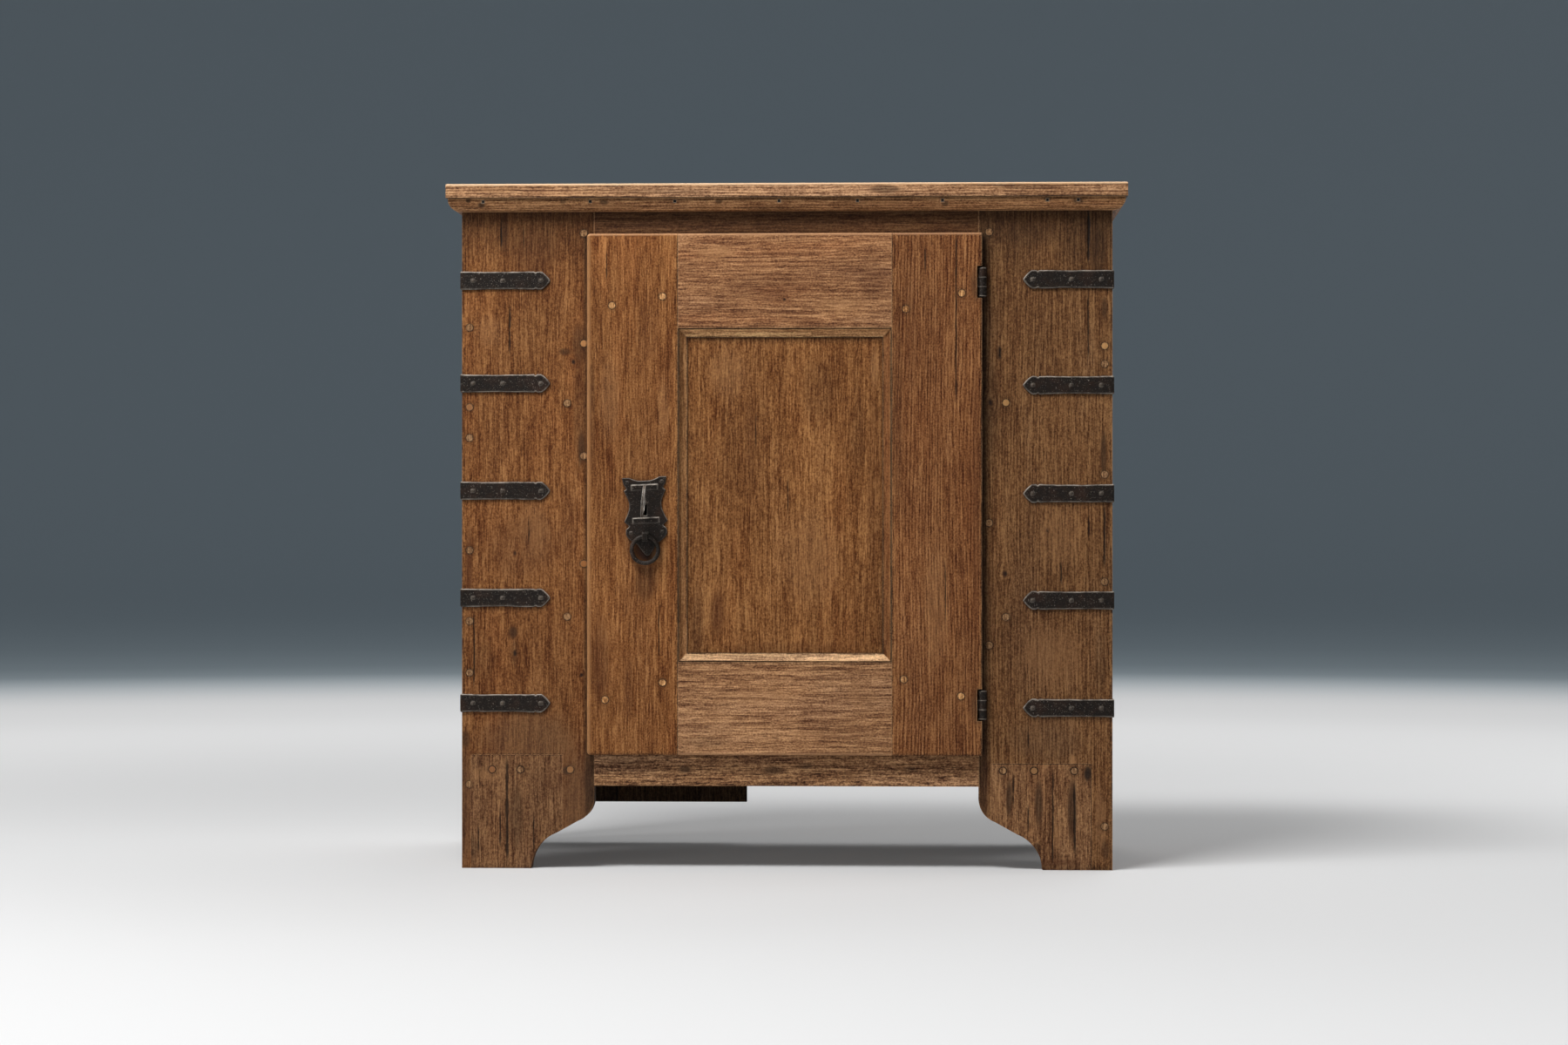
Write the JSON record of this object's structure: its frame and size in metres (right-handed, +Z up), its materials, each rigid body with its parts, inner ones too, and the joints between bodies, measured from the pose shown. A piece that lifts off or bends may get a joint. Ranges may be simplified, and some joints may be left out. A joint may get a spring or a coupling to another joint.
{
  "type": "single door cabinet",
  "caption": "Low oak cabinet with a framed front, ogee feet, iron corner straps, a fielded panel door with rim lock, key and ring pull, and fixed shelves inside.",
  "frame": {"origin": "on the floor, below the middle of the whole piece", "axes": "+X to the viewer's right, +Y from the front to the back, +Z up"},
  "size_m": [0.976, 0.506, 0.983],
  "materials": {
    "carcass_oak": "old waxed oak, open grain, worn edges",
    "door_oak": "old waxed oak, warmer than the carcass",
    "inner_oak": "dry unwaxed oak",
    "patch_oak": "newer oak, stained to match",
    "pale_pegs": "pale end grain",
    "wrought_iron": "hand forged, dark, rubbed bright on the edges"
  },
  "bodies": {
    "carcass": {"front_stile_left": "carcass_oak", "front_stile_right": "carcass_oak", "front_rail_top": "carcass_oak", "front_rail_bottom": "carcass_oak", "foot_patch_left": "patch_oak", "foot_patch_right": "patch_oak", "side_left_front_board": "carcass_oak", "side_left_rear_board": "carcass_oak", "side_right_front_board": "carcass_oak", "side_right_rear_board": "carcass_oak", "top_board_front": "carcass_oak", "top_board_rear": "carcass_oak", "top_moulding_front": "carcass_oak", "top_moulding_left": "carcass_oak", "top_moulding_right": "carcass_oak", "floor_board": "inner_oak", "shelf_lower": "inner_oak", "shelf_upper": "inner_oak", "shelf_bearers": "inner_oak", "back_plank_1": "inner_oak", "back_plank_2": "inner_oak", "back_plank_3": "inner_oak", "back_plank_4": "inner_oak", "back_plank_5": "inner_oak", "corner_strap_left_1": "wrought_iron", "corner_strap_left_2": "wrought_iron", "corner_strap_left_3": "wrought_iron", "corner_strap_left_4": "wrought_iron", "corner_strap_left_5": "wrought_iron", "corner_strap_right_1": "wrought_iron", "corner_strap_right_2": "wrought_iron", "corner_strap_right_3": "wrought_iron", "corner_strap_right_4": "wrought_iron", "corner_strap_right_5": "wrought_iron", "strap_nails": "wrought_iron", "carcass_pegs": "pale_pegs", "carcass_nails": "wrought_iron", "hinge_upper_frame_leaf": "wrought_iron", "hinge_lower_frame_leaf": "wrought_iron", "hinge_pins": "wrought_iron", "lock_keeper": "wrought_iron"},
    "door": {"door_stile_lock": "door_oak", "door_stile_hinge": "door_oak", "door_rail_top": "door_oak", "door_rail_bottom": "door_oak", "door_panel": "door_oak", "door_bead_top": "door_oak", "door_bead_bottom": "door_oak", "door_bead_left": "door_oak", "door_bead_right": "door_oak", "door_pegs": "pale_pegs", "hinge_upper_door_leaf": "wrought_iron", "hinge_lower_door_leaf": "wrought_iron", "lock_plate": "wrought_iron", "plate_nails": "wrought_iron", "ring_staple": "wrought_iron", "lock_case": "wrought_iron"},
    "ring": {"ring_pull": "wrought_iron"},
    "key": {"key": "wrought_iron"},
    "bolt": {"lock_bolt": "wrought_iron"}
  },
  "joints": [
    {"name": "door_hinge", "type": "hinge", "parent": "carcass", "child": "door", "pos_m": [0.28125, -0.196, 0.54], "axis": [0, 0, 1], "range_deg": [0, 165]},
    {"name": "ring_swing", "type": "hinge", "parent": "door", "child": "ring", "pos_m": [-0.2015, -0.2083, 0.4775], "axis": [-1, 0, 0], "range_deg": [0, 100]},
    {"name": "key_turn", "type": "hinge", "parent": "door", "child": "key", "pos_m": [-0.2015, -0.2049, 0.5275], "axis": [0, -1, 0], "range_deg": [0, 355]},
    {"name": "bolt_slide", "type": "slide", "parent": "door", "child": "bolt", "axis": [-1, 0, 0], "range_m": [0, 0.016]}
  ],
  "couplings": [
    {"joint": "key_turn", "follows": "bolt_slide", "rad_per_m": 387.2}
  ]
}
